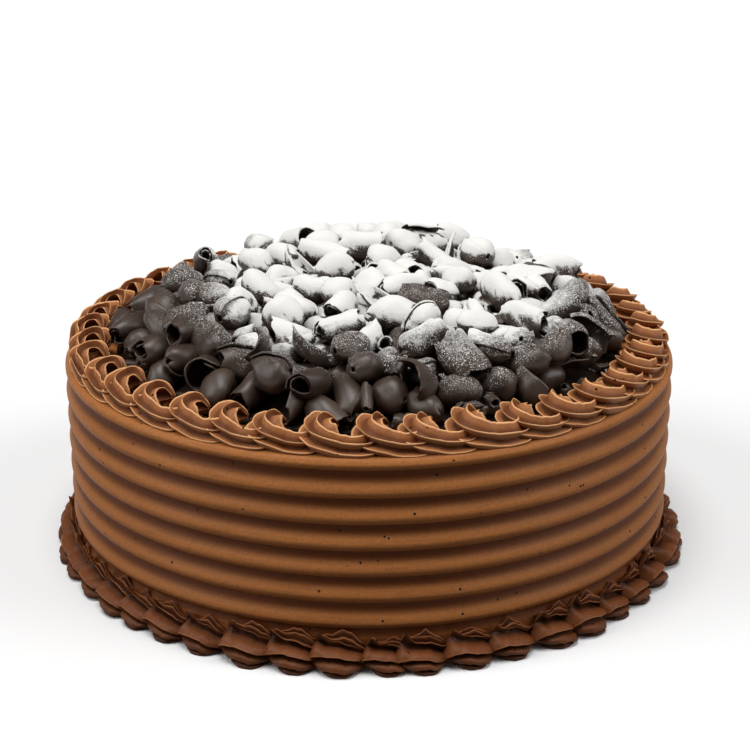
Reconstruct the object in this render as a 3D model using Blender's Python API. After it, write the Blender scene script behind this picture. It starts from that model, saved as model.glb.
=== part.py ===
# A round chocolate layer cake with combed icing, a piped border round its top, a piped
# border round its foot, and a heap of chocolate curls inside the top border.
# Metres, +Z up. The origin is the middle of the flat base, and the front is -Y.

import math
import random

import bmesh
import bpy
from mathutils import Vector

# Room left between two pieces that touch
GAP = 0.0003

# The iced body
BODY_RADIUS = 0.1142
BODY_HEIGHT = 0.0755
BODY_SEGMENTS = 48
RIM_ROUNDING = 0.0032
GROOVE_COUNT = 7
GROOVE_PITCH = 0.00937
GROOVE_DEPTH = 0.0020
TOP_GROOVE_HEIGHT = 0.0705
LOWEST_GROOVE_HEIGHT = TOP_GROOVE_HEIGHT - (GROOVE_COUNT - 1) * GROOVE_PITCH
RIDGE_SHOULDERS = (0.27, 0.73)
SHOULDER_DROP = 0.12

# The piped border on the top edge: loops of a ribbed strand, each laid over the end of the last
SWIRL_COUNT = 40
SWIRL_RING_RADIUS = 0.1043
LOOP_RADIUS = 0.0038
LOOP_STRETCH = 1.22
STRAND_RADIUS = 0.0053
STRAND_HEIGHT = 0.0062
LEFT_LIFT = 0.0019
INNER_LIFT = 0.0029
LOOP_START = math.radians(15)
LOOP_END = math.radians(292)
LOOP_STATIONS = 5
LOOP_TAPER = 0.22
# Round the strand, from the foot upwards and inwards: direction in degrees and share of its radius
STRAND_RIBS = ((-50, 1.10), (-20, 0.66), (12, 1.12), (44, 0.64), (78, 1.14), (122, 0.78))
# Where the strand stands on the cake, as shares of its radius from its middle line
STRAND_FOOT = (-0.80, 0.66)

# The piped border round the foot: shells whose ribs arch over from side to side
SHELL_COUNT = 47
SHELL_WALL_RADIUS = BODY_RADIUS - GROOVE_DEPTH + GAP
SHELL_SPANS = 4
# Each rib or furrow of a shell: half its width, its height, how far it stands out from the wall,
# and how far its crown leans along the border
SHELL_RIBS = (
    (0.0087, 0.0152, 0.0000, -0.0022),
    (0.0076, 0.0104, 0.0028, -0.0014),
    (0.0080, 0.0078, 0.0048, -0.0006),
    (0.0080, 0.0056, 0.0078, 0.0004),
    (0.0066, 0.0030, 0.0086, 0.0014),
    (0.0052, 0.0022, 0.0103, 0.0020),
)

# The heap of chocolate curls
HEAP_RADIUS = 0.0952
HEAP_EDGE_HEIGHT = 0.0070
HEAP_CROWN = 0.0115
HEAP_STEEPNESS = 6
HEAP_SEGMENTS = 18
HEAP_RINGS = (1.0, 0.90, 0.74, 0.40)
EDGE_CURL_COUNT = 27
EDGE_SCATTER = 0.3
EDGE_MARGIN = 0.0006
INNER_CURL_COUNT = 67
INNER_REACH = 0.0780
CURL_SIDES = 5
CURL_LENGTH = (0.0140, 0.0185)
CURL_RADIUS = (0.0058, 0.0072)
CURL_WAIST = 0.62
CURL_RIDE = 0.0040
CURL_TILT = 0.5
CURL_SEED = 20

# How much one piped piece differs from the next
PIPING_SEED = 7
PIPING_UNEVENNESS = 0.05

GOLDEN_ANGLE = math.pi * (3 - math.sqrt(5))


def clear_scene():
    for old in list(bpy.data.objects):
        bpy.data.objects.remove(old)


def material(name, colour, roughness):
    made = bpy.data.materials.new(name)
    made.use_nodes = True
    surface = made.node_tree.nodes["Principled BSDF"]
    surface.inputs["Base Color"].default_value = (*colour, 1.0)
    surface.inputs["Roughness"].default_value = roughness
    surface.inputs["Metallic"].default_value = 0.0
    return made


def finished_object(name, shape, look, smooth_angle=40):
    """Turns a bmesh into a named object with its normals outwards and round parts smooth."""
    bmesh.ops.recalc_face_normals(shape, faces=shape.faces)
    mesh = bpy.data.meshes.new(name)
    shape.to_mesh(mesh)
    shape.free()
    mesh.materials.append(look)
    mesh.shade_smooth()
    mesh.set_sharp_from_angle(angle=math.radians(smooth_angle))
    made = bpy.data.objects.new(name, mesh)
    bpy.context.scene.collection.objects.link(made)
    return made


def loft(shape, sections):
    """Skins rings of points, all of one length, and closes both ends with a flat face."""
    rings = [[shape.verts.new(point) for point in section] for section in sections]
    count = len(rings[0])
    for here, there in zip(rings, rings[1:]):
        for i in range(count):
            j = (i + 1) % count
            shape.faces.new((here[i], here[j], there[j], there[i]))
    shape.faces.new(rings[0])
    shape.faces.new(rings[-1])
    return rings


def body_outline():
    """Half of the body's section, from the middle of its base round to the middle of its top."""
    groove_radius = BODY_RADIUS - GROOVE_DEPTH
    outline = [(0.0, 0.0), (groove_radius, 0.0)]
    for groove in range(GROOVE_COUNT):
        height = LOWEST_GROOVE_HEIGHT + groove * GROOVE_PITCH
        outline.append((groove_radius, height))
        if groove < GROOVE_COUNT - 1:
            for share in RIDGE_SHOULDERS:
                shoulder = BODY_RADIUS - SHOULDER_DROP * GROOVE_DEPTH
                outline.append((shoulder, height + share * GROOVE_PITCH))
    for turn in (0, 45, 90):
        reach = RIM_ROUNDING * (1 - math.cos(math.radians(turn)))
        rise = RIM_ROUNDING * (1 - math.sin(math.radians(turn)))
        outline.append((BODY_RADIUS - reach, BODY_HEIGHT - rise))
    outline.append((0.0, BODY_HEIGHT))
    return outline


def on_ring(angle, along, outward, height):
    """A point given by how far it lies along and outward from the frame at that angle of the ring."""
    return Vector((
        outward * math.cos(angle) - along * math.sin(angle),
        outward * math.sin(angle) + along * math.cos(angle),
        height,
    ))


def held_outside(point, radius, floor):
    """Moves a point out of the cylinder of that radius, and up on to the floor."""
    distance = math.hypot(point.x, point.y)
    if distance < radius:
        point.x *= radius / distance
        point.y *= radius / distance
    point.z = max(point.z, floor)
    return point


def swirl_sections(angle, size):
    """Sections of one loop of the strand, each in an upright half plane through the loop's middle."""
    floor = BODY_HEIGHT + GAP
    sections = []
    for station in range(LOOP_STATIONS):
        share = station / (LOOP_STATIONS - 1)
        turn = LOOP_START + share * (LOOP_END - LOOP_START)
        middle = BODY_HEIGHT + STRAND_HEIGHT - LEFT_LIFT * math.cos(turn) - INNER_LIFT * math.sin(turn)
        strand = STRAND_RADIUS * size * (1 - LOOP_TAPER * share)
        outline = []
        for degrees, reach in STRAND_RIBS:
            way = math.radians(degrees)
            outline.append((strand * reach * math.cos(way), middle + strand * reach * math.sin(way)))
        outline += [(strand * reach, floor) for reach in STRAND_FOOT]
        ring = []
        for across, height in outline:
            from_middle = LOOP_RADIUS * size + across
            along = LOOP_STRETCH * from_middle * math.cos(turn)
            outward = SWIRL_RING_RADIUS + from_middle * math.sin(turn)
            point = on_ring(angle, along, outward, height)
            ring.append(held_outside(point, HEAP_RADIUS + GAP, floor))
        sections.append(ring)
    return sections


def shell_sections(angle, size):
    """Arches of one shell, from the wall outwards, and the floor line that closes each of them."""
    sections = []
    for half_width, height, out, lean in SHELL_RIBS:
        ring = []
        for step in range(SHELL_SPANS + 1):
            turn = math.pi * step / SHELL_SPANS
            along = half_width * size * math.cos(turn) + lean * math.sin(turn)
            rise = min(height * size * math.sin(turn), LOWEST_GROOVE_HEIGHT)
            ring.append(on_ring(angle, along, SHELL_WALL_RADIUS + out, rise))
        sections.append(ring)
    return sections


def make_shape(name, sections, look):
    shape = bmesh.new()
    loft(shape, sections)
    return finished_object(name, shape, look)


def make_turned(name, outline, segments, look):
    """Turns an outline of radii and heights once round the upright axis."""
    shape = bmesh.new()
    points = [shape.verts.new((radius, 0.0, height)) for radius, height in outline]
    edges = [shape.edges.new(pair) for pair in zip(points, points[1:])]
    bmesh.ops.spin(
        shape,
        geom=points + edges,
        cent=(0, 0, 0),
        axis=(0, 0, 1),
        angle=math.tau,
        steps=segments,
        use_merge=True,
    )
    bmesh.ops.remove_doubles(shape, verts=shape.verts, dist=1e-5)
    return finished_object(name, shape, look)


def joined(first, others, smooth_angle=40):
    """One Boolean union of an object with a collection of others, applied, with the others removed."""
    group = bpy.data.collections.new(first.name + "_pieces")
    bpy.context.scene.collection.children.link(group)
    for other in others:
        bpy.context.scene.collection.objects.unlink(other)
        group.objects.link(other)
    union = first.modifiers.new("union", "BOOLEAN")
    union.operation = "UNION"
    union.operand_type = "COLLECTION"
    union.collection = group
    union.solver = "MANIFOLD"
    bpy.context.view_layer.update()
    evaluated = first.evaluated_get(bpy.context.evaluated_depsgraph_get())
    fused = bpy.data.meshes.new_from_object(evaluated)
    first.modifiers.clear()
    first.data = fused
    for other in others:
        bpy.data.objects.remove(other)
    bpy.data.collections.remove(group)
    fused.shade_smooth()
    fused.set_sharp_from_angle(angle=math.radians(smooth_angle))
    return first


def make_piped_ring(name, count, sections_of, look):
    """A border of that many piped pieces, each a little different, fused where they overlap."""
    chance = random.Random(PIPING_SEED + count)
    pieces = []
    for i in range(count):
        angle = math.tau * (i + 0.5) / count
        size = 1 + chance.uniform(-PIPING_UNEVENNESS, PIPING_UNEVENNESS)
        label = f"{name}_{i}" if i else name
        pieces.append(make_shape(label, sections_of(angle, size), look))
    return joined(pieces[0], pieces[1:])


def heap_height(distance):
    """Height of the heap's core above the icing, at that distance from the middle."""
    share = distance / HEAP_RADIUS
    return HEAP_EDGE_HEIGHT + HEAP_CROWN * (1 - share ** HEAP_STEEPNESS)


def make_heap_core(look):
    floor = BODY_HEIGHT + GAP
    outline = [(0.0, floor), (HEAP_RADIUS, floor)]
    for share in HEAP_RINGS:
        radius = HEAP_RADIUS * share
        outline.append((radius, floor + heap_height(radius)))
    outline.append((0.0, floor + heap_height(0.0)))
    return make_turned("chocolate_curls", outline, HEAP_SEGMENTS, look)


def curl_sections(place, along, length, radius):
    """A barrel that narrows to both ends, as a curl of chocolate shaving does."""
    across = along.cross(Vector((0, 0, 1))).normalized()
    up = across.cross(along)
    sections = []
    for shift, swell in ((-0.5, CURL_WAIST), (0.0, 1.0), (0.5, CURL_WAIST)):
        ring = []
        for side in range(CURL_SIDES):
            way = math.tau * side / CURL_SIDES
            ring.append(
                place
                + along * (shift * length)
                + (across * math.cos(way) + up * math.sin(way)) * (radius * swell)
            )
        sections.append(ring)
    return sections


def make_curl(chance, name, bearing, distance, heading, length, radius, look):
    """One curl at that bearing and distance from the middle, riding on the core, tilted at random."""
    place = Vector((
        distance * math.cos(bearing),
        distance * math.sin(bearing),
        BODY_HEIGHT + heap_height(distance) + chance.uniform(0.0, CURL_RIDE),
    ))
    tilt = chance.uniform(-CURL_TILT, CURL_TILT)
    along = Vector((math.cos(heading), math.sin(heading), tilt)).normalized()
    return make_shape(name, curl_sections(place, along, length, radius), look)


def make_heap(look):
    """A ring of curls along the heap's edge, and the rest spread inside it like sunflower seeds."""
    chance = random.Random(CURL_SEED)
    core = make_heap_core(look)
    pieces = []
    for i in range(EDGE_CURL_COUNT):
        length = chance.uniform(*CURL_LENGTH)
        radius = chance.uniform(*CURL_RADIUS)
        bearing = math.tau * i / EDGE_CURL_COUNT
        heading = bearing + math.pi / 2 + chance.uniform(-EDGE_SCATTER, EDGE_SCATTER)
        distance = HEAP_RADIUS - radius - EDGE_MARGIN
        pieces.append(make_curl(chance, f"edge_curl_{i}", bearing, distance, heading, length, radius, look))
    for i in range(INNER_CURL_COUNT):
        length = chance.uniform(*CURL_LENGTH)
        radius = chance.uniform(*CURL_RADIUS)
        bearing = i * GOLDEN_ANGLE
        heading = chance.uniform(0, math.tau)
        distance = INNER_REACH * math.sqrt((i + 0.5) / INNER_CURL_COUNT)
        pieces.append(make_curl(chance, f"curl_{i}", bearing, distance, heading, length, radius, look))
    return joined(core, pieces)


def main():
    clear_scene()
    icing = material("chocolate_icing", (0.20, 0.085, 0.030), 0.55)
    piping = material("piped_icing", (0.19, 0.075, 0.030), 0.50)
    chocolate = material("dark_chocolate", (0.030, 0.020, 0.016), 0.40)
    make_turned("iced_cake", body_outline(), BODY_SEGMENTS, icing)
    make_piped_ring("top_border", SWIRL_COUNT, swirl_sections, piping)
    make_piped_ring("foot_border", SHELL_COUNT, shell_sections, piping)
    make_heap(chocolate)


main()
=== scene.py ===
# %% [markdown]
# # A chocolate layer cake
#
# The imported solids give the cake's size and its main forms. This lesson dresses them: combed
# icing on the side, two piped borders, and a heap of chocolate curls under icing sugar.
# Every new surface is worked out with numpy and stands in the same frame as the solids.

import math

import bmesh
import bpy
import numpy as np
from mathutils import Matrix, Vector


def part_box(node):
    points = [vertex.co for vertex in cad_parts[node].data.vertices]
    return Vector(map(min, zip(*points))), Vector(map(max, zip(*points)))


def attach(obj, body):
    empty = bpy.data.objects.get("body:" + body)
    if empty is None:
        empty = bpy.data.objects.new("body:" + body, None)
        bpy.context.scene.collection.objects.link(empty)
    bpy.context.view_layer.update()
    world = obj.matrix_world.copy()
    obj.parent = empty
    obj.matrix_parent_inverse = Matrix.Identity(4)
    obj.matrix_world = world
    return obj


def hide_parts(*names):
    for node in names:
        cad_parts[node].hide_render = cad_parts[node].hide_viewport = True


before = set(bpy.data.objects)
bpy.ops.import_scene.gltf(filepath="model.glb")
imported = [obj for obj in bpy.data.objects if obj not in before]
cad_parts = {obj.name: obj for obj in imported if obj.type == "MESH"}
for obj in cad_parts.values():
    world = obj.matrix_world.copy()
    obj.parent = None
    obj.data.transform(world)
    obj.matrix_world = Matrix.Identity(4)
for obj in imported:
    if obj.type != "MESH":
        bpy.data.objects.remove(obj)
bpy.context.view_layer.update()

MM = 0.001
TURN = math.tau

cake_low, cake_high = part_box("iced_cake")
TOP = cake_high.z
BODY_RADIUS = cake_high.x
FOOT_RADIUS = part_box("foot_border")[1].x
HEAP_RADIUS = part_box("chocolate_curls")[1].x
print("iced body", round(BODY_RADIUS / MM, 1), "mm in radius,", round(TOP / MM, 1), "mm tall")

# %% [markdown]
# ## Helpers for meshes
#
# Each piece below is one or many grids of points. A grid is a function of two parameters, so
# numpy works out all its points at once, and one helper turns the arrays into a mesh. Rows that
# shrink to a point make a pole: merging the equal points there turns its quads into triangles
# and closes the shape.


# %% Mesh helpers
def grid_faces(copies, rows, columns, round_columns):
    """Corner numbers of the quads of equal grids, stored grid by grid and row by row."""
    number = np.arange(copies * rows * columns).reshape(copies, rows, columns)
    if round_columns:
        number = np.concatenate([number, number[:, :, :1]], axis=2)
    corners = [number[:, :-1, :-1], number[:, :-1, 1:], number[:, 1:, 1:], number[:, 1:, :-1]]
    return np.stack(corners, axis=-1).reshape(-1, 4)


def make_piece(name, points, faces, values=None, merge=0.0, outwards=False):
    """A mesh object from an array of points and an array of faces that all have as many corners.

    values holds a named number for each point. merge joins points closer than that distance.
    outwards turns the faces of closed shapes to the outside.
    """
    mesh = bpy.data.meshes.new(name)
    mesh.vertices.add(points.size // 3)
    mesh.vertices.foreach_set("co", np.ascontiguousarray(points, np.float32).ravel())
    count, corners = faces.shape
    mesh.loops.add(count * corners)
    mesh.loops.foreach_set("vertex_index", np.ascontiguousarray(faces, np.int32).ravel())
    mesh.polygons.add(count)
    mesh.polygons.foreach_set("loop_start", np.arange(0, count * corners, corners, dtype=np.int32))
    mesh.update(calc_edges=True)
    for label, numbers in (values or {}).items():
        layer = mesh.attributes.new(label, "FLOAT", "POINT")
        layer.data.foreach_set("value", np.ascontiguousarray(numbers, np.float32).ravel())
    if merge or outwards:
        work = bmesh.new()
        work.from_mesh(mesh)
        if merge:
            bmesh.ops.remove_doubles(work, verts=work.verts, dist=merge)
        if outwards:
            bmesh.ops.recalc_face_normals(work, faces=work.faces)
        work.to_mesh(mesh)
        work.free()
    mesh.shade_smooth()
    piece = bpy.data.objects.new(name, mesh)
    bpy.context.scene.collection.objects.link(piece)
    mesh.calc_loop_triangles()
    print(name, len(mesh.loop_triangles), "triangles")
    return piece


def soft_step(low, high, value):
    """0 below low, 1 above high, and a smooth S between them."""
    share = np.clip((value - low) / (high - low), 0.0, 1.0)
    return share * share * (3 - 2 * share)


def set_round(out, height, spot, along=0.0):
    """Points from a distance out, a height, the angle round the cake, and a distance along there."""
    return np.stack([
        out * np.cos(spot) - along * np.sin(spot),
        out * np.sin(spot) + along * np.cos(spot),
        height,
    ], axis=-1)


def slow_wave(chance, turn, strongest, shares):
    """A smooth random wave round a circle: a sum of sines with whole numbers of waves."""
    wave = np.zeros_like(turn)
    for waves in range(1, strongest + 1):
        wave += chance.normal() * np.sin(waves * turn + chance.uniform(0, TURN)) * shares ** waves
    return wave


# %% [markdown]
# ## The combed side
#
# A decorator holds a toothed comb against the iced cake and turns the stand. Each tooth leaves
# a groove, and the icing between two grooves bulges and sags a little, so every ridge slopes out
# slowly from the groove above it and turns under quickly at its lower edge. It could be a
# displacement map, but real relief gives true shadows, so the side is a turned surface whose
# radius follows that profile, with a slow waver round the cake as no hand is perfectly steady.

# %% Combed side
GROOVES = 7
GROOVE_PITCH = 9.37 * MM
TOP_GROOVE = 69.5 * MM
GROOVE_DEPTH = 2.5 * MM
RIM_ROUNDING = 3.2 * MM
SIDE_INSET = 0.4 * MM
WAVER = 0.25 * MM
RIDGE_LIFT = 0.22 * MM
DRAG_MARKS = 0.035 * MM
SIDE_COLUMNS = 400
SIDE_ROWS = 214


def comb_relief(height):
    """How far the side lies behind its ridges, as a share of the depth: one minus a skewed sine.

    The sine's phase runs down from one groove to the next and is raised to a power, so that the
    ridge stands furthest out below its middle. Above the top groove and below the last one it is
    a soft step.
    """
    phase = (TOP_GROOVE - height) / GROOVE_PITCH
    bulge = np.sin(np.pi * np.mod(phase, 1.0) ** 1.55) ** 1.15
    above = soft_step(-0.45, 0.0, phase) ** 2
    below = 1 - 0.36 * soft_step(0.0, 0.35, phase - (GROOVES - 1))
    return np.where(phase < 0, above, np.where(phase < GROOVES - 1, 1 - bulge, below))


def rim_curve(past):
    """How far the rounded rim falls back: its radius x (1 - root(1 - share ** 2)).

    The share says how far past the start of the rounding a point lies. It is kept just below 1,
    so that the curve doesn't end in a fold.
    """
    share = np.clip(past / RIM_ROUNDING, 0, 1)
    return RIM_ROUNDING * (1 - np.sqrt(1 - share ** 2 * 0.995))


def combed_cake():
    """Radius = body radius - comb relief - rounded rim + drag marks + waver, for each height and angle.

    The same rows shrink to a pole over the lid and under the base.
    """
    chance = np.random.default_rng(11)
    turn = np.linspace(0, TURN, SIDE_COLUMNS, endpoint=False)[None, :]
    side = np.linspace(0, TOP, SIDE_ROWS)[:, None]
    waver = slow_wave(chance, turn, 6, 0.72) * WAVER
    lift = slow_wave(chance, turn, 7, 0.75) * RIDGE_LIFT
    groove = comb_relief(side + lift * soft_step(0, 0.02, side))
    depth = GROOVE_DEPTH * (1 + 0.10 * slow_wave(chance, turn, 9, 0.8))
    drag = np.sin(side / MM * 7.3 + 2 * np.sin(side / MM * 2.1) + 1.5 * np.sin(3 * turn)) * DRAG_MARKS
    radius = BODY_RADIUS - depth * groove - rim_curve(side - (TOP - RIM_ROUNDING)) + drag
    radius = radius + waver * soft_step(0.0, 0.012, side) - SIDE_INSET
    height = side + 0 * turn
    lid_share = np.linspace(0.97, 0.0, 12)[:, None]
    lid_radius = radius[-1:] * lid_share
    lid_height = TOP + 0 * turn - 0.15 * MM * (1 - lid_share)
    base_share = np.linspace(0.0, 0.97, 8)[:, None]
    base_radius = radius[:1] * base_share
    radius = np.concatenate([base_radius, radius, lid_radius])
    height = np.concatenate([0 * base_radius, height, lid_height])
    # The share of the comb's depth is kept, and the material paints the grooves darker with it as
    # painted shade.
    hollow = np.concatenate([base_radius * 0, groove + 0 * turn, lid_radius * 0])
    return set_round(radius, height, turn), hollow


side_points, side_hollow = combed_cake()
combed_icing = make_piece(
    "combed_icing",
    side_points,
    grid_faces(1, *side_points.shape[:2], True),
    {"hollow": side_hollow},
    merge=1e-6,
    outwards=True,
)
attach(combed_icing, "root")
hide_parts("iced_cake")

# %% [markdown]
# ## The top border
#
# The border is a rope of small loops from an open star tip. The icing leaves the tip as a strand
# with six sharp fins. Each loop starts inside, swings round to the left, comes back along
# the front and dives under the next loop. A fin keeps its direction while the strand turns, so
# the fins stand as nested petals round the loop's hollow middle, each with a thin lip. The
# strand's section is a star in an upright half plane that turns about the middle of the loop,
# and all loops are worked out together as one array.

# %% Sections of a piped strand
FIN_POINTS = 9


def star_section(fin_angles, fin_reach, valleys, sharpness, hook):
    """Directions and reaches round a star: from fin to fin the reach sinks and rises again.

    Between two fins the share s runs from 0 to 1, and the reach is the fins' own reach, blended,
    times one minus the valley there times (1 - |2s - 1| ** sharpness). Large powers make thin fins.
    The hook bends the tips forward: it is added to the direction times |2s - 1| ** 3.
    """
    share = (1 - np.cos(np.pi * np.arange(FIN_POINTS) / FIN_POINTS)) / 2
    following = np.roll(fin_angles, -1, axis=-1)
    following[..., -1] += TURN
    tip = np.abs(2 * share - 1)
    ways = fin_angles[..., None] + (following - fin_angles)[..., None] * share + hook * tip ** 3
    change = np.roll(fin_reach, -1, axis=-1) - fin_reach
    sink = 1 - tip ** sharpness
    reach = (fin_reach[..., None] + change[..., None] * share) * (1 - valleys[:, None] * sink)
    crest = np.broadcast_to(1 - sink, reach.shape)
    return [a.reshape(*a.shape[:-2], -1) for a in (ways, reach, crest)]


# %% [markdown]
# With the section at hand, a swirl needs its path and how its fins grow and fade on the way.
# Every swirl gets its own size, turn and torn petal, as a hand never repeats itself.

# %% Top border
SWIRLS = 40
SWIRL_RING = 104.3 * MM
LOOP_ALONG = 8.4 * MM
LOOP_OUT = 4.0 * MM
STRAND = 5.3 * MM
STRAND_MIDDLE = 3.3 * MM
FIN_SHARPNESS = 3.4
FIN_HOOK = math.radians(18)
STATIONS = 40
# Nearest to the loop's middle, deepest in the top, and the band in which the edge squeezes
NEAREST = 0.35 * MM
DEEPEST = 0.8 * MM
EDGE_BAND = 4.0 * MM
START_TURN = math.radians(246)
END_TURN = math.radians(-24)
# The fins, from the low outer one over the top to the one below: direction in degrees, reach,
# and how deep the valley is after it
FINS = np.radians([-26.0, 14.0, 68.0, 114.0, 176.0, 250.0])
FIN_REACH = np.array([1.14, 1.06, 0.98, 1.02, 0.62, 0.80])
FIN_VALLEYS = np.array([0.62, 0.50, 0.54, 0.50, 0.25, 0.20])
# How much of a petal each fin is
PETAL = np.array([0, 0, 0, 1, 0.5, 0])
SWIRL_FINS = len(FINS)


def fin_lengths(share, chance):
    """The fins' reach along the strand: each swirl's own, with one torn peak and ragged waves.

    The fourth fin is a petal: it peaks before the loop's front and then sinks away.
    """
    own = FIN_REACH * chance.uniform(0.92, 1.08, (SWIRLS, 1, SWIRL_FINS))
    spot = chance.uniform(0.24, 0.38, (SWIRLS, 1, 1))
    peak = chance.uniform(0.05, 0.60, (SWIRLS, 1, 1)) * np.exp(-np.abs(share - spot) / 0.09)
    own = own * (1 - 0.72 * PETAL * soft_step(0.34, 0.68, share)) + peak * PETAL
    for waves in (2, 4, 7, 12):
        phase = chance.uniform(0, TURN, (SWIRLS, 1, SWIRL_FINS))
        own = own * (1 + np.sin(waves * TURN * share + phase) * 0.035 / waves ** 0.4)
    return own


def top_swirls():
    """Loops of a star strand, set round the ring.

    At each station the half plane stands at an angle u about the loop's middle, and the strand
    lies root((LOOP_ALONG cos u) ** 2 + (LOOP_OUT sin u) ** 2) away from there. Its height falls
    from the left, inner side to the right, outer side. Close to the cake's edge a tanh squeezes
    the fins together.
    """
    chance = np.random.default_rng(5)
    shape = (SWIRLS, 1, 1)
    share = np.linspace(0, 1, STATIONS)[None, :, None]
    fins = FINS + np.radians(chance.uniform(-5, 5, (SWIRLS, 1, SWIRL_FINS)))
    lengths = fin_lengths(share, chance)
    ways, reach, crest = star_section(fins, lengths, FIN_VALLEYS, FIN_SHARPNESS, FIN_HOOK)
    size = 1 + chance.uniform(-0.05, 0.05, shape)
    yaw = chance.uniform(-0.16, 0.16, shape)
    around = START_TURN + (END_TURN - START_TURN) * share
    growth = (0.20 + 0.80 * soft_step(-0.03, 0.15, share)) * (1 - 0.20 * soft_step(0.60, 1.0, share))
    way = ways + (around - TURN / 4) / 14
    strand = STRAND * size * growth * reach
    slope = np.where(np.cos(around) < 0, 2.0, 0.5)
    middle = STRAND_MIDDLE - 1.6 * MM * np.sin(around) - slope * MM * np.cos(around)
    middle = middle + chance.uniform(-0.3, 0.9, shape) * MM * (1 - soft_step(0.0, 0.35, share))
    from_middle = np.hypot(LOOP_ALONG * np.cos(around), LOOP_OUT * np.sin(around)) * size
    from_middle = np.maximum(from_middle + strand * np.cos(way), NEAREST)
    along = from_middle * np.cos(around + yaw)
    out = SWIRL_RING + chance.uniform(-0.6, 0.6, shape) * MM + from_middle * np.sin(around + yaw)
    over = np.clip(out - (BODY_RADIUS - EDGE_BAND), 0, None)
    out = out - over + EDGE_BAND * 0.6 * np.tanh(over / (EDGE_BAND * 0.6))
    top_there = TOP - rim_curve(np.hypot(out, along) - (BODY_RADIUS - RIM_ROUNDING))
    height = np.maximum(TOP + middle + strand * np.sin(way), top_there - DEEPEST)
    spot = TURN * (np.arange(SWIRLS)[:, None, None] + 0.5 + chance.uniform(-0.07, 0.07, shape)) / SWIRLS
    return set_round(out, height, spot, along), crest

# %% [markdown]
# Each end of a strand is closed by a pole, so that every swirl is one closed shape. The crest, 1 on a
# fin's tip and 0 in a valley, is stored for the shader, which paints shade into the valleys and a
# highlight onto the tips.


# %% Closed swirls
def piped_piece(name, points, crest):
    """A piece from piped grids, with a row added at both ends: all its points at that end's middle."""
    first = np.broadcast_to(points[:, :1].mean(2, keepdims=True), points[:, :1].shape)
    last = np.broadcast_to(points[:, -1:].mean(2, keepdims=True), points[:, -1:].shape)
    points = np.concatenate([first, points, last], axis=1)
    crest = np.concatenate([crest[:, :1], crest, crest[:, -1:]], axis=1)
    faces = grid_faces(*points.shape[:3], True)
    return make_piece(name, points, faces, {"crest": crest}, merge=1e-7, outwards=True)


piped_swirls = piped_piece("piped_swirls", *top_swirls())
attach(piped_swirls, "root")
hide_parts("top_border")

# %% [markdown]
# ## The foot border
#
# Round the foot the same tip leaves shells: a ragged collar of thin fins up the wall, and
# below it fins that arch over a rounded lump, each shell lying over the right end of the one
# before. The fins here are curves that run along the border, with hollows between them, so a
# shell is easiest to describe by where each fin runs, and a grid fills the hollows.

# %% Foot border
SHELLS = 47
WALL = BODY_RADIUS - 2.0 * MM
SHELL_COLUMNS = 34
# For each fin, from the wall outwards and down: its left and right end along the border, in mm
FIN_ENDS = np.array([
    [-6.0, 11.0],
    [-7.0, 11.5],
    [-7.6, 11.5],
    [-9.6, 10.5],
    [-6.4, 9.0],
    [-4.6, 7.4],
])
# Along each fin, from left to right: how far along it its stations are
FIN_STATIONS = np.array([0.0, 0.07, 0.3, 0.55, 0.8, 1.0])
# The distance out from the wall at the stations, in mm
FIN_OUT = np.array([
    [-1.2, 0.5, 0.9, 1.0, 0.8, -0.8],
    [-1.0, 1.3, 1.9, 1.9, 1.6, -0.4],
    [-0.8, 2.6, 3.1, 3.0, 2.5, -0.2],
    [2.6, 5.4, 7.5, 7.7, 6.6, 3.0],
    [2.6, 5.2, 8.6, 9.0, 7.8, 3.0],
    [2.4, 4.4, 7.6, 8.2, 7.0, 2.5],
])
# The same for the heights, in mm
FIN_HEIGHT = np.array([
    [6.5, 9.6, 11.2, 12.4, 9.8, 7.0],
    [6.0, 9.8, 11.0, 11.3, 8.9, 6.6],
    [5.6, 10.9, 10.6, 9.8, 8.1, 6.2],
    [2.4, 4.5, 6.4, 6.0, 4.6, 3.0],
    [1.4, 1.9, 2.6, 2.5, 1.7, 1.0],
    [0.0, 0.0, 0.0, 0.0, 0.0, 0.0],
])
# Between each fin and the next: how far the hollow goes in towards the wall and down, in mm
HOLLOW_IN = np.array([0.3, 0.7, 3.6, 3.2, 2.4])
HOLLOW_DOWN = np.array([1.7, 2.1, 0.7, 0.2, 0.0])
# Between each fin and the next: where the hollow's floor ends, as a share of the way
HOLLOW_ENDS = np.array([0.5, 0.5, 0.42, 0.34, 0.30])
# The collar's torn peaks: which fin, where along it, how tall in mm, and how wide
COLLAR_PEAKS = ((2, 0.11, 2.5, 0.07), (0, 0.50, 2.3, 0.09), (1, 0.17, 2.0, 0.06))
# How far each fin may lie too high, lean and be torn, in mm
FIN_LIFT = np.array([0.6, 0.5, 0.6, 0.6, 0.5, 0.0])[:, None]
FIN_LEAN = np.array([0.8, 0.8, 0.9, 1.0, 0.9, 0.0])[:, None]
FIN_TEAR = np.array([0.42, 0.378, 0.294, 0.21, 0.294, 0.0])[:, None]
# Shares of the way from fin to fin at which the surface has points
HOLLOW_SHARES = np.array([0.0, 0.05, 0.12, 0.22, 0.34, 0.46, 0.58, 0.72, 0.86, 0.95])

# %% [markdown]
# The tables give six stations on each fin, and a smooth curve runs through them. The grid is
# then filled from fin to fin, for all shells at once.


# %% Filling the shells
def spline(stations, knots, share):
    """Catmull-Rom curve through the knots of each row, read at the shares."""
    step = np.clip(np.searchsorted(stations, share, side="right") - 1, 0, len(stations) - 2)
    width = stations[step + 1] - stations[step]
    local = (share - stations[step]) / width
    slopes = np.gradient(knots, stations, axis=1)
    here, there = knots[:, step], knots[:, step + 1]
    lean, next_lean = slopes[:, step] * width, slopes[:, step + 1] * width
    t2, t3 = local ** 2, local ** 3
    return (
        here * (2 * t3 - 3 * t2 + 1)
        + lean * (t3 - 2 * t2 + local)
        + there * (3 * t2 - 2 * t3)
        + next_lean * (t3 - t2)
    )


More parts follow.
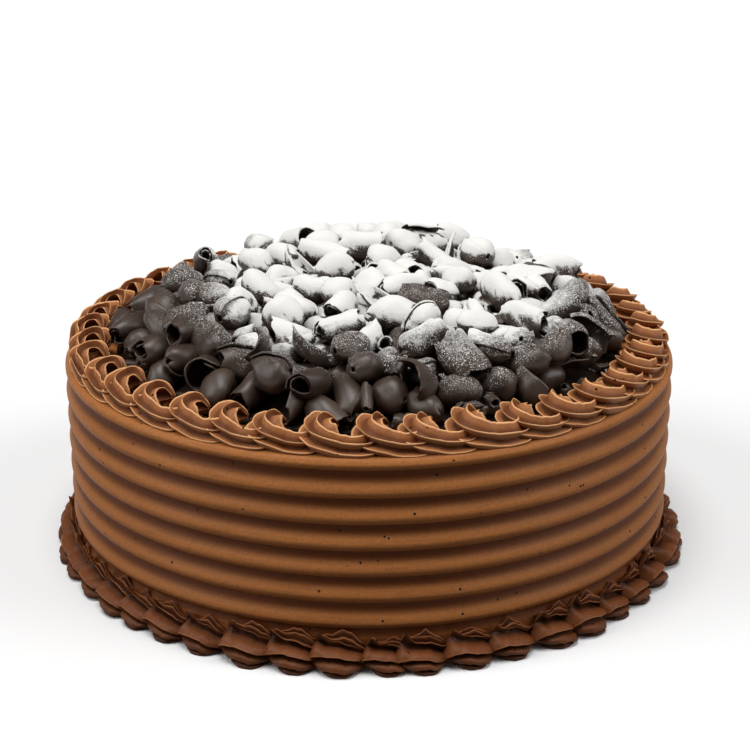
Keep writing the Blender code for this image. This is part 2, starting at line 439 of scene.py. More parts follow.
def foot_shells():
    """A grid over each shell: fins from the table, and between two fins a hollow and a hood.

    With s the share of the way from a fin down to the next, the point is the blend of the two
    fins, moved in and down by the hollow. The hollow deepens at once under the upper fin, keeps
    its depth to the end of its floor, and comes out again in a smooth step: that is the hood.
    """
    chance = np.random.default_rng(17)
    share = (1 - np.cos(np.pi * np.linspace(0, 1, SHELL_COLUMNS))) / 2 * 0.5
    share = share + 0.5 * np.linspace(0, 1, SHELL_COLUMNS)
    shape = (SHELLS, 1, 1)
    fins = len(FIN_OUT)
    fin_out = spline(FIN_STATIONS, FIN_OUT, share)[None] * MM
    fin_height = spline(FIN_STATIONS, FIN_HEIGHT, share)[None] * MM
    peaks = 0.0
    for fin, spot, tall, wide in COLLAR_PEAKS:
        collar = (np.arange(fins) == fin)[:, None]
        spot = spot + chance.uniform(-0.07, 0.07, shape)
        tall = tall * chance.uniform(0.3, 1.2, shape)
        peaks = peaks + collar * tall * MM * np.exp(-np.abs(share[None, None, :] - spot) / wide)
    lift = chance.uniform(-1, 1, (SHELLS, fins, 1)) * FIN_LIFT
    lean = chance.uniform(-1, 1, (SHELLS, fins, 1)) * FIN_LEAN
    torn = 0.0
    for waves in (3, 5, 8, 13):
        phase = chance.uniform(0, TURN, (SHELLS, fins, 1))
        torn = torn + np.sin(waves * TURN / 2 * share + phase) * FIN_TEAR / waves ** 0.5
    full = soft_step(0.0, 0.12, share)
    fin_height = fin_height + peaks + (lift + lean * (share - 0.5) + torn) * MM * full
    fin_out = fin_out + chance.uniform(-0.5, 0.5, (SHELLS, fins, 1)) * MM * full
    step = HOLLOW_SHARES[None, None, :, None]
    ends = HOLLOW_ENDS[None, :, None, None]
    sink = soft_step(-0.10, 0.22, step) - soft_step(-0.10, 0.22, 0.0) * (1 - step / 0.22).clip(0, 1)
    sink = sink * (1 - soft_step(ends, ends + 0.30, step)) * full
    sink = sink * (1 + chance.uniform(-0.25, 0.25, (SHELLS, fins - 1, 1, 1)))
    out = fin_out[:, :-1, None] * (1 - step) + fin_out[:, 1:, None] * step
    out = out - HOLLOW_IN[None, :, None, None] * MM * sink
    height = fin_height[:, :-1, None] * (1 - step) + fin_height[:, 1:, None] * step
    height = height - HOLLOW_DOWN[None, :, None, None] * MM * sink
    rows = (fins - 1) * len(HOLLOW_SHARES)
    behind = np.full((SHELLS, 1, SHELL_COLUMNS), -2.0 * MM)
    out = np.concatenate([out.reshape(SHELLS, rows, -1), fin_out[:, -1:], behind], axis=1)
    height = np.concatenate([height.reshape(SHELLS, rows, -1), fin_height[:, -1:], 0 * behind], axis=1)
    # The crest, 1 on a fin and 0 deep in a hollow, drives the painted shade in the hollows and the
    # painted highlight on the fins.
    lip = np.maximum(1 - step / 0.05, (step - 0.86) / 0.14).clip(0, 1)
    crest = 0.6 * (1 - sink.clip(0, 1)) + 0.4 * lip
    crest = np.concatenate([crest.reshape(SHELLS, rows, -1), 1 + 0 * behind, 0 * behind], axis=1)
    size = 1 + chance.uniform(-0.08, 0.08, shape)
    fin_along = FIN_ENDS[:, :1] + (FIN_ENDS[:, 1:] - FIN_ENDS[:, :1]) * share
    fin_along = fin_along[None] * MM + chance.uniform(-0.6, 0.6, (SHELLS, fins, 1)) * MM
    along = fin_along[:, :-1, None] * (1 - step) + fin_along[:, 1:, None] * step
    lowest = fin_along[:, -1:]
    along = np.concatenate([along.reshape(SHELLS, rows, -1), lowest, lowest], axis=1) * size
    height = np.maximum(height * size, 0.0)
    out = WALL + np.minimum(out * size, FOOT_RADIUS - WALL - 0.1 * MM)
    spot = TURN * (np.arange(SHELLS)[:, None, None] + 0.5 + chance.uniform(-0.13, 0.13, shape)) / SHELLS
    points = set_round(out, height, spot, along)
    return points.transpose(0, 2, 1, 3), crest.transpose(0, 2, 1)


piped_shells = piped_piece("piped_shells", *foot_shells())
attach(piped_shells, "root")
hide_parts("foot_border")

# %% [markdown]
# ## Where the curls lie
#
# Chocolate curls are shaved off a block with a knife, and heaped by hand. A rigid body
# simulation could drop them, but it is slow and hard to repeat exactly. Here each curl is three
# balls on a line, and they are dropped one at a time: for every curl over a hundred spots are
# tried, each gives the height at which its balls come to rest on those already there, and the
# spot that stays furthest below the heap's wanted surface wins. So hollows fill up first. The
# first few dozen go round the rim, where they lean against the border.

# %% The heap's core
HEAP_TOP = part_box("chocolate_curls")[1].z
CORE_EDGE = 0.8 * MM
CORE_CROWN = 12.0 * MM


def core_height(distance):
    """Height of the core above the icing: its edge plus its crown times 1 - share ** 4."""
    share = np.clip(distance / HEAP_RADIUS, 0, 1)
    return CORE_EDGE + CORE_CROWN * (1 - share ** 4)


def heap_core():
    """A low mound: for each share of the radius and each angle, the core's height with slow bumps."""
    turn = np.linspace(0, TURN, 120, endpoint=False)[None, :]
    share = np.linspace(1, 0, 40)[:, None]
    radius = (HEAP_RADIUS - 0.4 * MM) * share + 0 * turn
    bump = np.sin(radius / MM * 0.35 + 3 * np.sin(2 * turn)) * np.cos(5 * turn) * 0.8 * MM
    height = TOP + core_height(radius) + bump * share
    edge = set_round(radius[:1], TOP + 0 * turn, turn)
    middle = edge * np.array([0.0, 0.0, 1.0])
    return np.concatenate([middle, edge, set_round(radius, height, turn)])


core_points = heap_core()
curl_core = make_piece(
    "curl_heap_core",
    core_points,
    grid_faces(1, *core_points.shape[:2], True),
    {"sugar_fall": np.zeros(core_points.shape[:2])},
    merge=1e-7,
    outwards=True,
)

# %% [markdown]
# The heap's surface is nearly flat with a round shoulder, lower at the back left and right.
# The large curls are dropped first, and the scraps fall between them.

# %% Dropping the curls
# Kinds of curl: how many, half their length and their radius from and to, in mm
KINDS = {
    "egg": (88, (6.2, 8.4), (5.0, 6.4)),
    "cup": (62, (6.6, 8.8), (5.2, 6.8)),
    "roll": (48, (6.8, 9.4), (5.0, 6.8)),
    "leaf": (30, (7.0, 9.5), (3.8, 4.8)),
    "scrap": (64, (2.6, 4.6), (1.7, 2.9)),
}
CURLS = sum(kind[0] for kind in KINDS.values())
TRIES = 140
NESTING = 0.90
# The middle ball is the curl's own size, and those at its ends are smaller
BALL_SIZES = np.array([0.8, 1.0, 0.8])
SURFACE_CROWN = 28.0 * MM
SURFACE_FALL = 13.5 * MM
LOW_SIDE = 6.0 * MM
BACK = math.radians(95)
LOW_ASIDE = math.radians(57)
# The curls that go round the rim first, and from which share of the radius
RIM_CURLS = 54
RIM_SHARE = 0.90
# How far a curl may overhang the heap's edge or stand over its surface, and what more costs
OVERHANG = 4.0 * MM
STANDING = 2.5 * MM
OVERHANG_WEIGHT = 3
STANDING_WEIGHT = 9
# No curl reaches further up or out
TALLEST = HEAP_TOP + 2.6 * MM
WIDEST = HEAP_RADIUS + 3.0 * MM


def surface_height(distance, bearing):
    """The heap's wanted surface: its crown, less its fall times the share of the radius ** 5.

    At the back left and back right it is lower still, by a bell curve of the bearing times the
    share ** 3.
    """
    share = distance / HEAP_RADIUS
    aside = np.abs(bearing - BACK)
    low_side = LOW_SIDE * np.exp(-((aside - LOW_ASIDE) / 0.5) ** 2)
    return TOP + SURFACE_CROWN - SURFACE_FALL * share ** 5 - low_side * share ** 3


def dropped_curls():
    """Centres, directions, half lengths and radii of all curls, dropped in mixed order.

    A spot's cost is the height over the wanted surface, plus what lies outside the heap and what
    stands too tall, each times its own weight. The cheapest spot wins.
    """
    chance = np.random.default_rng(23)
    half = np.concatenate([chance.uniform(*k[1], k[0]) for k in KINDS.values()]) * MM
    radius = np.concatenate([chance.uniform(*k[2], k[0]) for k in KINDS.values()]) * MM
    centre = np.zeros((CURLS, 3))
    way = np.zeros((CURLS, 3))
    lying = np.zeros((0, 3))
    lying_reach = np.zeros(0)
    large = CURLS - KINDS["scrap"][0]
    order = np.concatenate([chance.permutation(large), np.arange(large, CURLS)])
    for turn, curl in enumerate(order):
        reach = radius[curl] * NESTING * BALL_SIZES
        spots = np.array([-1.0, 0.0, 1.0]) * (half[curl] - 0.8 * radius[curl])
        nearest = RIM_SHARE ** 2 if turn < RIM_CURLS else 0.0
        distance = (HEAP_RADIUS - 1 * MM) * np.sqrt(chance.uniform(nearest, 1, TRIES))
        bearing = chance.uniform(0, TURN, TRIES)
        heading = chance.uniform(0, TURN, TRIES)
        tilt = chance.normal(0, 0.36) + chance.normal(0, 0.12, TRIES)
        flat = set_round(distance, 0 * bearing, bearing)
        ways = set_round(np.cos(tilt), np.sin(tilt), heading)
        balls = flat[:, None, :] + ways[:, None, :] * spots[:, None]
        spread = np.hypot(balls[..., 0], balls[..., 1])
        rest = (TOP + core_height(spread) + reach * 0.85 - balls[..., 2]).max(1)
        across = ((balls[:, :, None, :2] - lying[:, :2]) ** 2).sum(-1)
        lift = np.sqrt(np.clip((reach[:, None] + lying_reach) ** 2 - across, 0, None))
        need = np.where(lift > 0, lying[:, 2] + lift - balls[:, :, None, 2], 0)
        rest = np.maximum(rest, need.max((1, 2), initial=0))
        outside = np.clip((spread + reach).max(1) - HEAP_RADIUS - OVERHANG, 0, None)
        end = half[curl] * np.abs(ways[:, 2]) + radius[curl] * np.sqrt(1 - ways[:, 2] ** 2)
        wanted = surface_height(distance, bearing)
        above = np.clip(rest + end - wanted - STANDING, 0, None)
        cost = rest + radius[curl] - wanted + OVERHANG_WEIGHT * outside + STANDING_WEIGHT * above
        best = cost.argmin()
        lift_up = np.array([0, 0, rest[best]])
        centre[curl] = flat[best] + lift_up
        way[curl] = ways[best]
        lying = np.concatenate([lying, balls[best] + lift_up])
        lying_reach = np.concatenate([lying_reach, reach])
    return centre, way, half, radius


curl_centre, curl_way, curl_half, curl_radius = dropped_curls()
curl_spread = np.hypot(curl_centre[:, 0], curl_centre[:, 1])
for inner, outer in ((0, 40), (40, 65), (65, 80), (80, 96)):
    ring = (curl_spread >= inner * MM) & (curl_spread < outer * MM)
    tops = (curl_centre[ring, 2] + curl_radius[ring]) / MM
    low, middle, high = np.round(np.percentile(tops, (10, 50, 90)), 1)
    print(ring.sum(), "curls from", inner, "to", outer, "mm, tops at", low, middle, high, "mm")

# %% [markdown]
# ## The curls themselves
#
# A shaving rolls up as it leaves the knife. Its sheet is thin and its ends are ragged. Some roll
# shut at both ends like an egg, some at one end like a cup, some stay an open roll, and broad
# ones are only bent like a leaf. One formula covers them all: a sheet with one parameter along
# the curl and one round it, closed at each end by its own share, whose radius shrinks a
# little with every turn. A Solidify modifier gives the sheet its wall.

# %% Curl shapes
SHEET_ROWS = 15
SHEET_COLUMNS = 30
# For each kind, from and to: turns, how much the roll tightens, how far the left and the right
# end close, and how ragged the ends are
SHAPES = {
    "egg": ((1.15, 1.5), (0.10, 0.28), (0.97, 1.0), (0.97, 1.0), 0.03),
    "cup": ((1.1, 1.6), (0.15, 0.40), (0.90, 1.0), (0.05, 0.55), 0.10),
    "roll": ((1.2, 1.9), (0.30, 0.62), (0.10, 0.70), (0.10, 0.70), 0.12),
    "leaf": ((0.32, 0.55), (0.0, 0.35), (0.1, 0.8), (0.1, 0.8), 0.13),
    "scrap": ((0.7, 1.5), (0.10, 0.50), (0.2, 1.0), (0.1, 0.7), 0.16),
}
LEAF_WIDTH = 1.7
# Dents: how strong as a share of the radius, waves a turn, and their sweep along the curl
DENTS = ((0.08, 2, 1.6), (0.05, 3, -2.5), (0.035, 1, 4.5), (0.020, 5, 7.0))


def curl_numbers(kind):
    """Which of the curls are of that kind."""
    names = list(KINDS)
    first = sum(KINDS[name][0] for name in names[:names.index(kind)])
    return slice(first, first + KINDS[kind][0])


def placed_curls(local, kind, chance):
    """Turns curls from their own frame, with the axis along X, to their place in the heap.

    A curl that would stand too tall is pushed down, and one that would cut deep into the border
    is pushed towards the middle.
    """
    way = curl_way[curl_numbers(kind)]
    centre = curl_centre[curl_numbers(kind)][:, None, None, :]
    roll = chance.uniform(0, TURN, (len(way), 1))
    side = np.cross(np.array([0.0, 0.0, 1.0]), way)
    side = side / np.linalg.norm(side, axis=-1, keepdims=True)
    up = np.cross(way, side)
    turned_side = side * np.cos(roll) + up * np.sin(roll)
    axes = np.stack([way, turned_side, np.cross(way, turned_side)], axis=1)
    points = np.einsum("nrci,nij->nrcj", local, axes) + centre
    points[..., 2] -= np.clip(points[..., 2].max((1, 2), keepdims=True) - TALLEST, 0, None)
    past = np.hypot(points[..., 0], points[..., 1]).max((1, 2), keepdims=True) - WIDEST
    outwards = centre[..., :2] / np.linalg.norm(centre[..., :2], axis=-1, keepdims=True)
    points[..., :2] -= np.clip(past, 0, None)[..., None] * outwards
    return points


def curl_sheets(kind):
    """Rolled sheets: radius = the curl's radius x closing ends x (1 - tightening x wound ** 0.9).

    For x from -1 to 1 along the curl, an end closes by the root of 1 - closing x |x| ** 2.4. The
    outer edge lifts off in a lip, the ends go in and out by a ragged wave, and dents run across.
    """
    turns, tighten, left, right, ragged = SHAPES[kind]
    half = curl_half[curl_numbers(kind)][:, None, None]
    radius = curl_radius[curl_numbers(kind)][:, None, None]
    chance = np.random.default_rng(41 + len(half) + len(kind))
    shape = half.shape
    x = np.sin(np.linspace(-1, 1, SHEET_ROWS) * np.pi / 2)[None, :, None]
    wound = np.linspace(0, 1, SHEET_COLUMNS)[None, None, :]
    angle = wound * TURN * chance.uniform(*turns, shape)
    closing = np.where(x < 0, chance.uniform(*left, shape), chance.uniform(*right, shape))
    reach = radius * np.sqrt(1 - closing * np.abs(x) ** 2.4 * 0.995)
    reach = reach * (1 + chance.uniform(-0.14, 0.14, shape) * x)
    reach = reach * (1 - chance.uniform(*tighten, shape) * wound ** 0.9)
    reach = reach * (1 + chance.uniform(0.02, 0.12, shape) * np.exp(-wound * 14))
    dents = 0.0
    for strength, waves, sweep in DENTS:
        dents = dents + strength * np.sin(waves * angle + sweep * x + chance.uniform(0, TURN, shape))
    reach = reach * (1 + dents)
    tear = 0.0
    for waves in (1, 2, 3, 5, 8):
        wave = np.sin(waves * angle + chance.uniform(0, TURN, shape) + 2.0 * (x > 0))
        tear = tear + np.sign(wave) * np.abs(wave) ** 1.6 * ragged / waves ** 0.55
    along = half * (x * (1 - 0.10 * wound) + tear * x * np.abs(x) ** 3)
    along = along + chance.uniform(-0.25, 0.25, shape) * reach * np.sin(angle) * x
    bend = chance.uniform(-0.14, 0.14, shape) * half * x ** 2
    if kind == "leaf":
        reach = reach * LEAF_WIDTH
        angle = angle + chance.uniform(-0.35, 0.35, shape) * x
    local = np.stack([along, reach * np.cos(angle) + bend, reach * np.sin(angle)], axis=-1)
    if kind == "leaf":
        local = local - local.mean((1, 2), keepdims=True)
    return placed_curls(local, kind, chance)


curl_kinds = {kind + "_curls": curl_sheets(kind) for kind in KINDS}
print("tallest curl", round(max(sheets[..., 2].max() for sheets in curl_kinds.values()) / MM, 1), "mm")

# %% [markdown]
# ## Flakes between the curls
#
# The knife also leaves small bent flakes and crumbs, which trickle into the gaps. To find the
# gaps, the heap's height map is used: a plain grid that keeps the greatest height in each square.
# Of many spots, those that lie deepest win. A flake needs only a few faces, as it is tiny.

# %% Height map and flakes
CELL = 1.2 * MM
CELLS = 180
FLAKES = 420
SPOTS_TRIED = 4 * FLAKES


def cells_under(points):
    """Row and column of the height map's square under each point."""
    cell = np.clip((points[..., :2] / CELL + CELLS / 2).astype(int), 0, CELLS - 1)
    return cell[..., 0], cell[..., 1]


height_map = TOP + core_height(np.hypot(*np.meshgrid(*[(np.arange(CELLS) - CELLS / 2) * CELL] * 2)))
for sheets in curl_kinds.values():
    np.maximum.at(height_map, cells_under(sheets), sheets[..., 2])


def small_flakes():
    """Small bent sheets: a flat grid, bent by the square of its width, turned and laid on the map."""
    chance = np.random.default_rng(77)
    shape = (FLAKES, 1, 1)
    along = np.linspace(-1, 1, 5)[None, :, None] * chance.uniform(0.9, 2.6, shape) * MM
    across = np.linspace(-1, 1, 4)[None, None, :] * chance.uniform(0.4, 1.2, shape) * MM
    across = across * (1 + chance.uniform(-0.4, 0.4, (FLAKES, 5, 4)))
    bent = across ** 2 * 120 + along ** 2 * chance.uniform(-90, 90, shape)
    local = np.stack([along + 0 * across, across + 0 * along, bent], axis=-1)
    heading = chance.uniform(0, TURN, FLAKES)
    tilt = chance.normal(0, 0.25, FLAKES)
    way = set_round(np.cos(tilt), np.sin(tilt), heading)
    side = set_round(0.0, 0 * heading, heading, 1.0)
    axes = np.stack([way, side, np.cross(way, side)], axis=1)
    distance = (HEAP_RADIUS - 1 * MM) * np.sqrt(chance.uniform(0, 1, SPOTS_TRIED))
    bearing = chance.uniform(0, TURN, SPOTS_TRIED)
    spot = set_round(distance, 0 * bearing, bearing)
    spot[:, 2] = height_map[cells_under(spot)] + 0.1 * MM
    spot = spot[np.argsort(spot[:, 2] - surface_height(distance, bearing))[:FLAKES]]
    return np.einsum("nrci,nij->nrcj", local, axes) + spot[:, None, None, :]


curl_kinds["chocolate_flakes"] = small_flakes()

# %% [markdown]
# ## Icing sugar
#
# Sugar is sieved from above, so it settles where the sky is open: on top of the curls and not
# under them. The same height map tells which points lie open. The share of open sky, times how
# thickly the middle and back were dusted, is stored on the points and read by the material.

# %% Sugar fall
BARE_SHARE = 0.07
SHEET_WALL = 0.6 * MM
# The dusted oval: its middle and its radii, east and north
DUSTED_EAST = (9 * MM, 66 * MM)
DUSTED_NORTH = (19 * MM, 78 * MM)


def sugar_amount(points):
    """How thickly each spot was dusted: full inside an oval round the middle, none far outside."""
    east = (points[..., 0] - DUSTED_EAST[0]) / DUSTED_EAST[1]
    north = (points[..., 1] - DUSTED_NORTH[0]) / DUSTED_NORTH[1]
    away = np.sqrt(east ** 2 + north ** 2)
    uneven = 0.08 * np.sin(points[..., 0] * 95 + 1.3) + 0.08 * np.sin(points[..., 1] * 80 + 2.0)
    return 1 - soft_step(0.72, 1.53, away + uneven)


def open_sky(points):
    """For each point, 1 where nothing lies above it and 0 where a curl covers it."""
    return 1 - soft_step(0.6 * MM, 2.4 * MM, height_map[cells_under(points)] - points[..., 2])


curl_pieces = []
for name, sheets in curl_kinds.items():
    count, rows, columns = sheets.shape[:3]
    chance = np.random.default_rng(60 + count)
    dusted = np.where(chance.uniform(0, 1, (count, 1, 1)) < BARE_SHARE, 0.08, 1.0)
    piece = make_piece(
        name,
        sheets,
        grid_faces(count, rows, columns, False),
        {"sugar_fall": open_sky(sheets) * sugar_amount(sheets) * dusted},
    )
    wall = piece.modifiers.new("wall", "SOLIDIFY")
    wall.thickness = SHEET_WALL
    wall.offset = 0.0
    curl_pieces.append(piece)
curl_pieces.append(curl_core)
for piece in curl_pieces:
    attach(piece, "root")
    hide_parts("chocolate_curls")

# %% [markdown]
# ## Finishes
#
# Whipped icing is a soft satin with tiny air holes and slow changes of shade. Both borders and
# the side share one shader group for that, and each material keeps its own colours. Sugar
# is a second group that turns the stored fall into a cover: full on open tops, and broken up
# into specks where it is thin.


# %% Node helpers
def new_group(name, inputs, outputs):
    """An empty shader group with float or vector sockets: {name: (kind, default)}."""
    group = bpy.data.node_groups.new(name, "ShaderNodeTree")
    for label, (kind, default) in inputs.items():
        socket = group.interface.new_socket(label, in_out="INPUT", socket_type=kind)
        if default is not None:
            socket.default_value = default
    for label, kind in outputs.items():
        group.interface.new_socket(label, in_out="OUTPUT", socket_type=kind)
    return group, group.nodes.new("NodeGroupInput"), group.nodes.new("NodeGroupOutput")


def feed(tree, node, inputs):
    """Fills a node's inputs, by name or number: sockets are linked, numbers and colours are set."""
    for label, value in inputs.items():
        if isinstance(value, bpy.types.NodeSocket):
            tree.links.new(value, node.inputs[label])
        else:
            node.inputs[label].default_value = (*value, 1.0) if isinstance(value, tuple) else value
    return node


def maths(tree, operation, *values):
    """A Math node fed with sockets or numbers, which gives back its output socket."""
    node = tree.nodes.new("ShaderNodeMath")
    node.operation = operation
    return feed(tree, node, dict(enumerate(values))).outputs[0]


def span(tree, value, low, high, new_low=0.0, new_high=1.0, smooth=True):
    """A Map Range node from low..high to new_low..new_high, held inside its ends."""
    node = tree.nodes.new("ShaderNodeMapRange")
    node.interpolation_type = "SMOOTHSTEP" if smooth else "LINEAR"
    feed(tree, node, {"Value": value, "From Min": low, "From Max": high})
    return feed(tree, node, {"To Min": new_low, "To Max": new_high}).outputs["Result"]


def noise(tree, vector, scale, detail=2.0, roughness=0.5, stretch=None):
    """A noise texture on a vector, in waves per metre, which gives back its value."""
    if stretch:
        mapping = feed(tree, tree.nodes.new("ShaderNodeMapping"), {"Vector": vector})
        mapping.inputs["Scale"].default_value = stretch
        vector = mapping.outputs["Vector"]
    node = feed(tree, tree.nodes.new("ShaderNodeTexNoise"), {"Vector": vector, "Scale": scale})
    return feed(tree, node, {"Detail": detail, "Roughness": roughness}).outputs["Fac"]


def mixed_colour(tree, share, first, second):
    """A blend of two colours, each a socket or three numbers."""
    node = tree.nodes.new("ShaderNodeMix")
    node.data_type = "RGBA"
    return feed(tree, node, {0: share, 6: first, 7: second}).outputs[2]


def bump(tree, height, strength, distance):
    """A normal that shows a height as small relief, at most that distance deep."""
    node = feed(tree, tree.nodes.new("ShaderNodeBump"), {"Height": height})
    return feed(tree, node, {"Strength": strength, "Distance": distance}).outputs["Normal"]


def stored(tree, label):
    """The number stored on the piece's points under that name."""
    node = tree.nodes.new("ShaderNodeAttribute")
    node.attribute_name = label
    return node.outputs["Fac"]


def new_material(name):
    """A material, its node tree and the Principled surface in it."""
    made = bpy.data.materials.new(name)
    made.use_nodes = True
    return made, made.node_tree, made.node_tree.nodes["Principled BSDF"]


# %% [markdown]
# The air holes are the middles of small cells, kept only where a slower noise is high, so they lie in
# loose crowds. Lumps, a fine grain and the holes make the relief, and the materials paint the holes
# near black as painted shade.


# %% Whipped icing group
def whipped_icing_group():
    """Mottle is slow noise. Holes are middles of sparse Voronoi cells. Height adds lumps and grain."""
    group, given, result = new_group(
        "whipped icing",
        {"Vector": ("NodeSocketVector", None)},
        {label: "NodeSocketFloat" for label in ("Mottle", "Grain", "Holes", "Height")},
    )
    vector = given.outputs["Vector"]
    mottle = noise(group, vector, 55.0, 3.0, 0.6)
    cells = feed(group, group.nodes.new("ShaderNodeTexVoronoi"), {"Vector": vector, "Scale": 210.0})
    thinned = span(group, noise(group, vector, 120.0, 1.0), 0.47, 0.53)
    holes = maths(group, "MULTIPLY", span(group, cells.outputs["Distance"], 0.12, 0.07), thinned)
    fine = noise(group, vector, 1100.0, 3.0, 0.6)
    lumps = noise(group, vector, 380.0, 2.0, 0.5)
    height = maths(group, "MULTIPLY_ADD", fine, 0.30, maths(group, "MULTIPLY", holes, -1.0))
    height = maths(group, "MULTIPLY_ADD", lumps, 0.50, height)
    grain = span(group, fine, 0.40, 0.64)
    feed(group, result, {"Mottle": mottle, "Grain": grain, "Holes": holes, "Height": height})
    return group


whipped_icing = whipped_icing_group()

# %% [markdown]
# Fat and cocoa settle unevenly, so the colour is mottled. Shade is painted into the colour too: the
# grooves and the hollows between fins are painted darker, the icing darkens towards the foot in painted
# shade, and the tips of the fins get a painted highlight.

# %% Icing materials
# Near black for the air holes: painted shade inside them.
AIR_HOLE_SHADE = (0.012, 0.004, 0.002)
# From which height painted shade darkens the icing towards the foot, and by how much there
SIDE_PAINTED_SHADE = (70 * MM, 0.32)
SHELL_PAINTED_SHADE = (6.5 * MM, 0.70)


def icing_material(name, light, dark, grain_and_shade, edge, roughness):
    """Satin icing: mottled between light and dark, with painted shade in its hollows and a painted
    highlight on its fin crests.

    Without a highlight colour it is the combed side. Painted shade darkens the side slowly towards its
    foot, and the shells only close to the board. The darkest colour serves for the grain and the
    streaks as well as for all painted shade.
    """
    made, tree, surface = new_material(name)
    place = tree.nodes.new("ShaderNodeTexCoord").outputs["Object"]
    effect = tree.nodes.new("ShaderNodeGroup")
    effect.node_tree = whipped_icing
    feed(tree, effect, {"Vector": place})
    colour = mixed_colour(tree, effect.outputs["Mottle"], light, dark)
    colour = mixed_colour(tree, maths(tree, "MULTIPLY", effect.outputs["Grain"], 0.18), colour, grain_and_shade)
    parts = feed(tree, tree.nodes.new("ShaderNodeSeparateXYZ"), {"Vector": place})
    # Painted shade: the colour darkens towards the foot, from the fade height down.
    fade, shade = SHELL_PAINTED_SHADE if edge else SIDE_PAINTED_SHADE
    low = span(tree, parts.outputs["Z"], fade, 0.0, 0.0, shade, smooth=False)
    colour = mixed_colour(tree, low, colour, grain_and_shade)
    if edge is None:
        # Painted shade: the deeper a point lies in a groove, the more of the darkest colour it takes.
        share = span(tree, stored(tree, "hollow"), 0.25, 1.0)
        colour = mixed_colour(tree, share, colour, grain_and_shade)
        streak = noise(tree, place, 260.0, 3.0, 0.65, (0.10, 0.10, 1.0))
        colour = mixed_colour(tree, span(tree, streak, 0.50, 0.8, 0.0, 0.40), colour, grain_and_shade)
    else:
        crest = stored(tree, "crest")
        # Painted shade: the valleys between fins, where the crest is low, take the darkest colour.
        colour = mixed_colour(tree, span(tree, crest, 0.60, 0.0, 0.0, 0.78), colour, grain_and_shade)
        # Painted highlight: the fin tips take the light crest colour, less of it near the board.
        painted_highlight = maths(tree, "SUBTRACT", span(tree, crest, 0.74, 1.0, 0.0, 0.90), low)
        colour = mixed_colour(tree, maths(tree, "MAXIMUM", painted_highlight, 0.0), colour, edge)
    # Painted shade: the air holes are painted near black.
    colour = mixed_colour(tree, effect.outputs["Holes"], colour, AIR_HOLE_SHADE)
    feed(tree, surface, {
        "Base Color": colour,
        "Roughness": roughness,
        "Specular IOR Level": 0.18,
        "Normal": bump(tree, effect.outputs["Height"], 0.65, 0.6 * MM),
    })
    return made


combed_icing.data.materials.append(icing_material(
    "combed icing", (0.428, 0.159, 0.043), (0.362, 0.131, 0.034), (0.108, 0.026, 0.004),
    None, 0.55))
piped_swirls.data.materials.append(icing_material(
    "piped icing", (0.405, 0.158, 0.059), (0.325, 0.121, 0.042), (0.085, 0.024, 0.007),
    (0.86, 0.46, 0.21), 0.50))
# The shells get a darker copy of the piped icing: painted shade, as the foot lies low in less light.
piped_shells.data.materials.append(icing_material(
    "shaded piped icing", (0.185, 0.058, 0.017), (0.136, 0.040, 0.011), (0.020, 0.005, 0.002),
    (0.33, 0.12, 0.042), 0.50))

# %% [markdown]
# The sugar group gets the stored fall and how far the surface faces up. Two noises cut the cover
# into clumps and grains. Its height makes the layer look like powder.


# %% Sugar group
def sugar_group():
    """Cover = fall x how far the surface faces the sky, then cut by clumps and grains of noise."""
    group, given, result = new_group(
        "icing sugar",
        {
            "Vector": ("NodeSocketVector", None),
            "Fall": ("NodeSocketFloat", 0.0),
            "Upward": ("NodeSocketFloat", 0.0),
        },
        {"Cover": "NodeSocketFloat", "Height": "NodeSocketFloat"},
    )
    vector = given.outputs["Vector"]
    upward = span(group, given.outputs["Upward"], -0.55, 0.45, smooth=False)
    settled = maths(group, "MULTIPLY", given.outputs["Fall"], upward)
    clumps = noise(group, vector, 420.0, 3.0, 0.65)
    grains = noise(group, vector, 2100.0, 2.0, 0.6)
    rough = maths(group, "MULTIPLY_ADD", clumps, 0.8, maths(group, "MULTIPLY", grains, 0.9))
    level = maths(group, "MULTIPLY_ADD", settled, 1.45, maths(group, "ADD", rough, -0.85))
    layer = span(group, level, 0.30, 0.82, smooth=False)
    specks = maths(group, "MULTIPLY", span(group, grains, 0.56, 0.62), span(group, settled, 0.0, 0.16))
    cover = maths(group, "MAXIMUM", layer, specks)
    height = maths(group, "MULTIPLY", maths(group, "MULTIPLY_ADD", rough, 0.6, 0.7), cover)
    feed(group, result, {"Cover": cover, "Height": height})
    return group


icing_sugar = sugar_group()
SUGAR_WHITE = (0.77, 0.76, 0.73)


def chocolate_material(name, dark, light, sheen):
    """Dark chocolate with a faint bloom between its two shades, and sugar laid over it."""
    made, tree, surface = new_material(name)
    where = tree.nodes.new("ShaderNodeTexCoord")
    place = where.outputs["Object"]
    facing = tree.nodes.new("ShaderNodeSeparateXYZ")
    feed(tree, facing, {"Vector": where.outputs["Normal"]})
    sugar = tree.nodes.new("ShaderNodeGroup")
    sugar.node_tree = icing_sugar
    fall = stored(tree, "sugar_fall")
    feed(tree, sugar, {"Vector": place, "Fall": fall, "Upward": facing.outputs["Z"]})
    bloom = noise(tree, place, 90.0, 3.0, 0.6)
    colour = mixed_colour(tree, span(tree, bloom, 0.35, 0.7), dark, light)
    colour = mixed_colour(tree, sugar.outputs["Cover"], colour, SUGAR_WHITE)
    fine = noise(tree, place, 1300.0, 2.0, 0.6)
    powder = maths(tree, "MULTIPLY", sugar.outputs["Height"], 1.6)
    relief = maths(tree, "MULTIPLY_ADD", fine, 0.10, powder)
    feed(tree, surface, {
        "Base Color": colour,
        "Roughness": span(tree, sugar.outputs["Cover"], 0.0, 1.0, 0.42, 0.9),
        "Specular IOR Level": sheen,
        "Normal": bump(tree, relief, 0.5, 0.7 * MM),
    })
    return made


dark_chocolate = chocolate_material(
    "dark chocolate", (0.038, 0.022, 0.015), (0.065, 0.041, 0.029), 0.5)
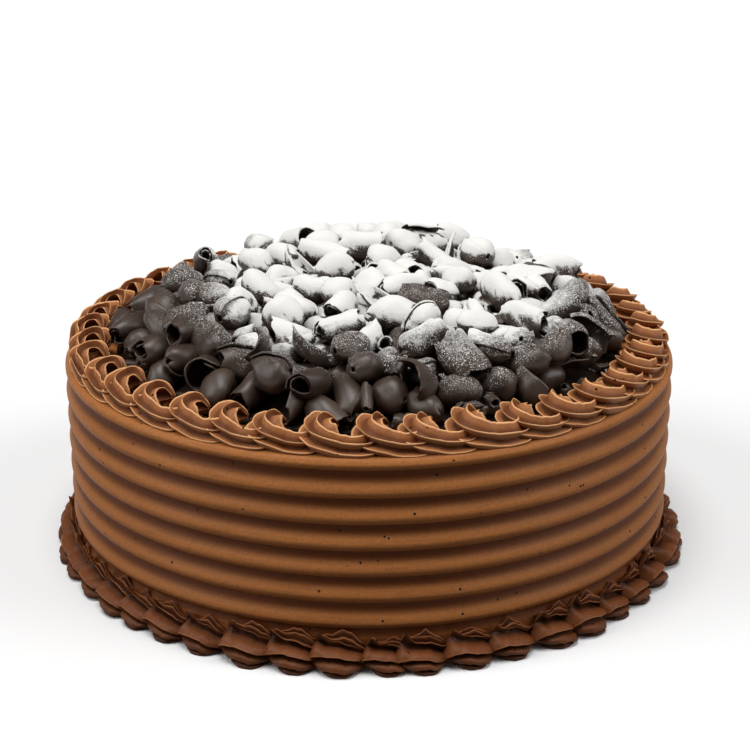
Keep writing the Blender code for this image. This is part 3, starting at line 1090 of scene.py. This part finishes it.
# A darker, duller copy for the heap's core: painted shade, as the core lies in the shadow under the
# curls.
shadowed_chocolate = chocolate_material(
    "shadowed chocolate", (0.010, 0.006, 0.004), (0.018, 0.011, 0.008), 0.1)
for piece in curl_pieces:
    piece.data.materials.append(shadowed_chocolate if piece == curl_core else dark_chocolate)

# %% [markdown]
# ## Floor, light and camera
#
# A plain pale floor, so wide that its edge is out of sight. It doesn't light the cake from
# below, as a bright table would wash out the shadows under the shells.


# %% Floor
FLOOR_REACH = 30.0


def pale_floor():
    """A wide flat square under the cake."""
    corners = np.array([[-1, -1], [1, -1], [1, 1], [-1, 1]]) * FLOOR_REACH
    points = np.concatenate([corners, np.zeros((4, 1))], axis=1)
    return make_piece("floor", points, np.array([[0, 1, 2, 3]]))


floor = pale_floor()
floor_paint, floor_tree, floor_surface = new_material("floor paint")
feed(floor_tree, floor_surface, {"Base Color": (0.82, 0.82, 0.82), "Roughness": 0.8})
floor.data.materials.append(floor_paint)
floor.visible_diffuse = False

# %% [markdown]
# Soft studio light comes from above and from both sides. The side lights graze the front, which
# draws every ridge of the comb, and a weak white world fills the shadows.


# %% Lights
def soft_light(name, bearing, height, spread, strength):
    """A wide sun: its bearing and height in degrees say where it shines from."""
    lamp = bpy.data.lights.new(name, "SUN")
    lamp.energy = strength
    lamp.angle = math.radians(spread)
    made = bpy.data.objects.new(name, lamp)
    bpy.context.scene.collection.objects.link(made)
    made.rotation_euler = (math.radians(90 - height), 0, math.radians(bearing))


soft_light("overhead light", -25, 82, 36, 2.3)
soft_light("left light", -75, 34, 40, 1.45)
soft_light("right light", 80, 34, 40, 1.3)

world = bpy.data.worlds.new("studio")
bpy.context.scene.world = world
world.use_nodes = True
world.node_tree.nodes["Background"].inputs["Color"].default_value = (1.0, 1.0, 1.0, 1.0)
world.node_tree.nodes["Background"].inputs["Strength"].default_value = 0.10
bpy.context.scene.view_settings.view_transform = "Standard"

# %% [markdown]
# The camera stands where the photograph was taken from: 60 cm in front of the cake's middle, and
# looking down by about 20 degrees.

# %% Camera
lens = bpy.data.cameras.new("camera")
lens.sensor_width = 36.0
lens.lens = 80.4
lens.clip_start = 0.01
camera = bpy.data.objects.new("camera", lens)
bpy.context.scene.collection.objects.link(camera)
camera.location = (0.0022, -0.600, 0.2855)
camera.rotation_euler = (math.radians(69.52), 0.0, 0.0)
bpy.context.scene.camera = camera
